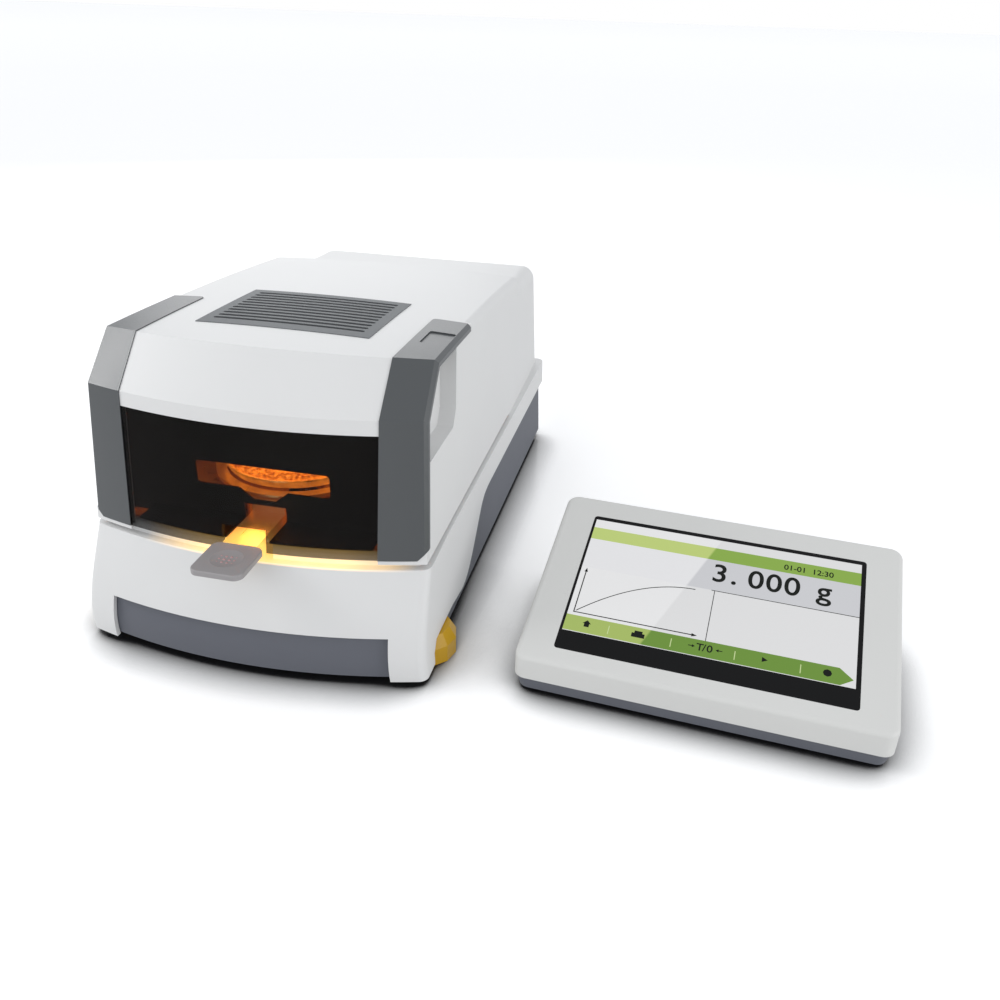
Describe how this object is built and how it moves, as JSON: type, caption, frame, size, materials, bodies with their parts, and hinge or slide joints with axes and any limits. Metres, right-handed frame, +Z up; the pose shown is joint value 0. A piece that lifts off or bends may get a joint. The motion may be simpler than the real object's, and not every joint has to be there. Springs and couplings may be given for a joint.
{
  "type": "moisture analyzer",
  "caption": "Halogen moisture balance with a hinged heating hood, window, lift-out sample pan and levelling feet, with a separate wedge-shaped touch-screen terminal.",
  "frame": {"origin": "centre of the whole object's plan on the surface that both units stand on", "axes": "+Z up; the main unit's front faces -Y; +X is the main unit's right side, where the terminal stands"},
  "size_m": [0.4648, 0.3926, 0.1753],
  "materials": {
    "white_shell": "satin moulded ABS",
    "dark_grey": "fine-textured moulded ABS",
    "grille_grey": "satin moulded",
    "tinted_glass": "dark tinted, polished",
    "clear_glass": "clear quartz, polished",
    "touch_black": "black-printed glass, polished",
    "black_sheet": "matt black powder coat",
    "steel": "brushed stainless",
    "bright_steel": "bright polished",
    "aluminium": "machined",
    "foot_amber": "satin moulded",
    "rubber": "matt",
    "black_plastic": "satin moulded",
    "board_green": "solder mask",
    "ceramic": "glazed ceramic look",
    "fibre": "glass fibre felt"
  },
  "bodies": {
    "main_unit": {"hinge_brackets": "steel", "hinge_pins": "bright_steel", "base_shell": "white_shell", "bottom_tray": "dark_grey", "base_screws": "bright_steel", "rear_feet": "rubber", "rear_housing": "white_shell", "rear_panel": "steel", "power_inlet": "black_plastic", "data_socket": "bright_steel", "switch_frame": "black_plastic", "chamber_floor": "steel", "draft_ring": "steel", "load_cell": "aluminium", "cell_mount": "aluminium", "pan_support": "steel", "main_board": "board_green", "power_supply": "board_green"},
    "hood": {"hood_shell": "white_shell", "grip_left": "dark_grey", "grip_right": "dark_grey", "window": "tinted_glass", "vent_grille": "grille_grey", "hood_liner": "steel", "liner_screws": "bright_steel", "lamp_reflector": "bright_steel", "halogen_lamp": "clear_glass", "lamp_socket": "ceramic", "guard_ring": "steel", "guard_glass": "clear_glass", "temperature_sensor": "steel", "window_shield": "black_sheet", "hood_hinge_arms": "steel"},
    "pan_carrier": {"pan_carrier": "bright_steel", "carrier_tab": "dark_grey"},
    "sample_pan": {"sample_pan": "aluminium", "sample_pad": "fibre"},
    "foot_left": {"foot_left": "foot_amber"},
    "foot_right": {"foot_right": "foot_amber"},
    "power_rocker": {"power_rocker": "black_plastic"},
    "terminal": {"terminal_shell": "white_shell", "terminal_base": "dark_grey", "terminal_screws": "bright_steel", "terminal_feet": "rubber", "terminal_board": "board_green", "terminal_socket": "black_plastic", "touch_glass": "touch_black", "lcd_module": "black_plastic"}
  },
  "joints": [
    {"name": "hood_hinge", "type": "hinge", "parent": "main_unit", "child": "hood", "pos_m": [-0.12318, 0.10775, 0.142], "axis": [-1, 0, 0], "range_deg": [0, 60]},
    {"name": "carrier_lift", "type": "slide", "parent": "main_unit", "child": "pan_carrier", "axis": [0, 0, 1], "range_m": [0, 0.003]},
    {"name": "pan_lift", "type": "slide", "parent": "pan_carrier", "child": "sample_pan", "axis": [0, 0, 1], "range_m": [0, 0.01]},
    {"name": "foot_left_turn", "type": "hinge", "parent": "main_unit", "child": "foot_left", "pos_m": [-0.21338, -0.12825, 0], "axis": [0, 0, 1], "continuous": true},
    {"name": "foot_right_turn", "type": "hinge", "parent": "main_unit", "child": "foot_right", "pos_m": [-0.03298, -0.12825, 0], "axis": [0, 0, 1], "continuous": true},
    {"name": "rocker_tilt", "type": "hinge", "parent": "main_unit", "child": "power_rocker", "pos_m": [-0.12918, 0.19015, 0.101], "axis": [-1, 0, 0], "range_deg": [0, 18]},
    {"name": "terminal_lift", "type": "slide", "parent": "main_unit", "child": "terminal", "axis": [0, 0, 1], "range_m": [0, 0.12]}
  ]
}
